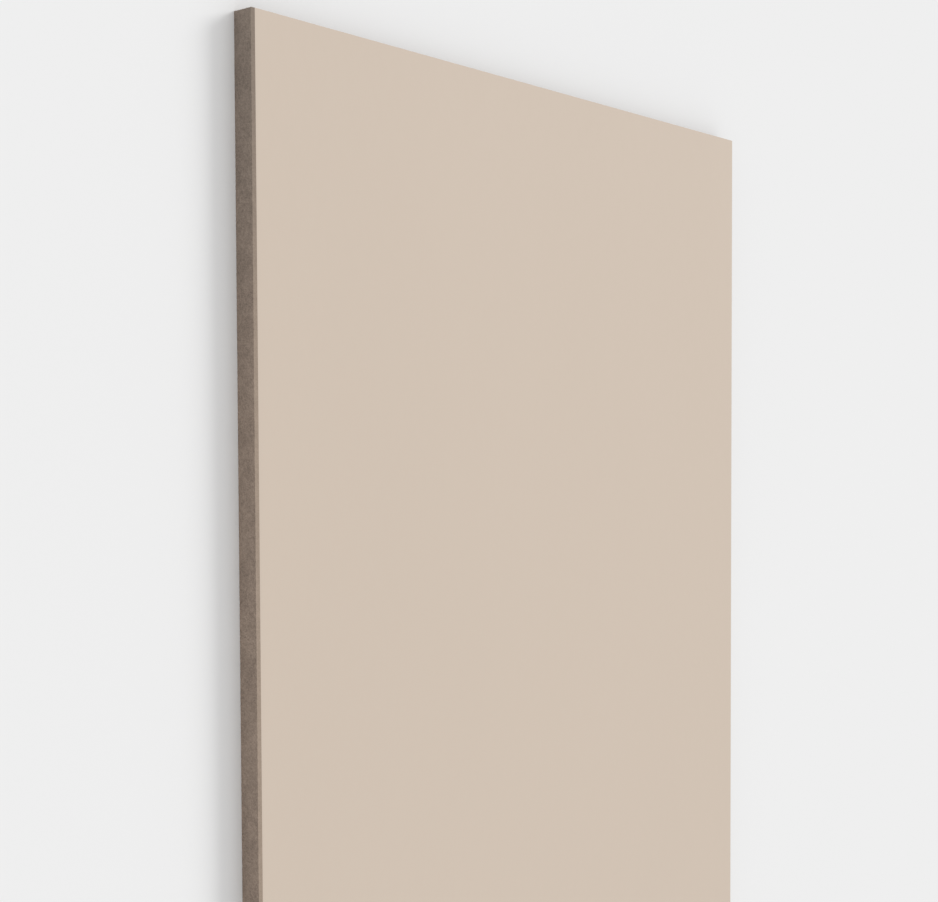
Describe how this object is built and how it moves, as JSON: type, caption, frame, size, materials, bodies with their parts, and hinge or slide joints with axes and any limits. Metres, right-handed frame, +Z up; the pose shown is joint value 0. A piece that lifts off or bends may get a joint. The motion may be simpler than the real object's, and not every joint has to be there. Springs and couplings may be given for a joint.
{
  "type": "pvc foam board",
  "caption": "Flat rectangular board of rigid expanded PVC with a matte beige face, sawn foam edges and a narrow bevel along a long edge.",
  "frame": {"origin": "centre of the back face, which lies on the floor", "axes": "+X across the width, away from the bevelled long edge; +Y along the length; +Z up out of the bevelled front face"},
  "size_m": [0.61, 1.22, 0.016],
  "materials": {
    "foam_pvc": "matte beige skin on both faces, bare taupe foam on the sawn edges and the bevel"
  },
  "bodies": {
    "root": {"foam_board": "foam_pvc"}
  },
  "joints": []
}
